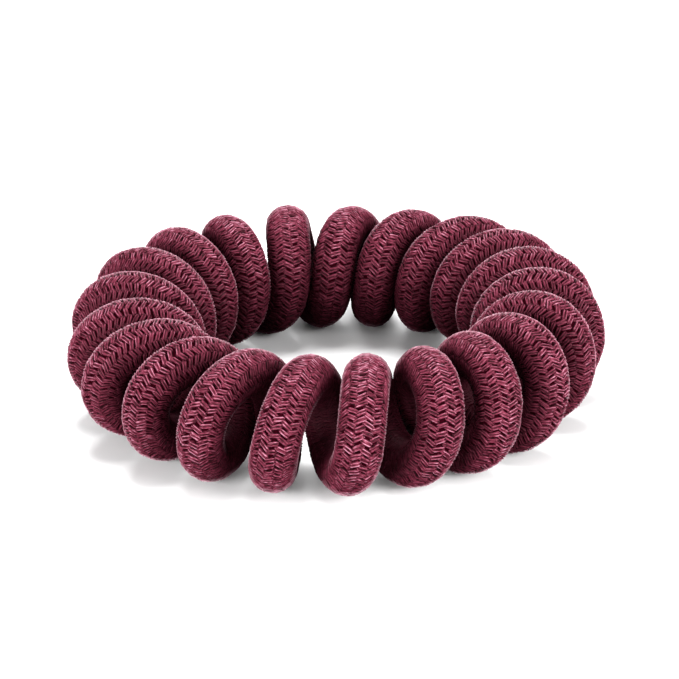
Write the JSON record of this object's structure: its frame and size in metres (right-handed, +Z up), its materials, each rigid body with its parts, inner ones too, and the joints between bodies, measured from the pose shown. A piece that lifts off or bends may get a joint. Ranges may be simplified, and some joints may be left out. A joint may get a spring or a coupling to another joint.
{
  "type": "spiral hair tie",
  "caption": "Spiral hair tie: a woven-covered elastic cord wound into an open coil and closed into a ring that holds a ponytail.",
  "frame": {"origin": "middle of the ring's outline on the surface that the tie lies on", "axes": "+Z up along the ring's axis, through the hole that the hair goes through; -Y is the side that faces the viewer in the picture and +X is to the right"},
  "size_m": [0.0546, 0.055, 0.0137],
  "materials": {
    "woven_cover": "matt tubular braid of burgundy yarn with a soft pale sheen at the edges"
  },
  "bodies": {
    "root": {"covered_cord": "woven_cover"}
  },
  "joints": []
}
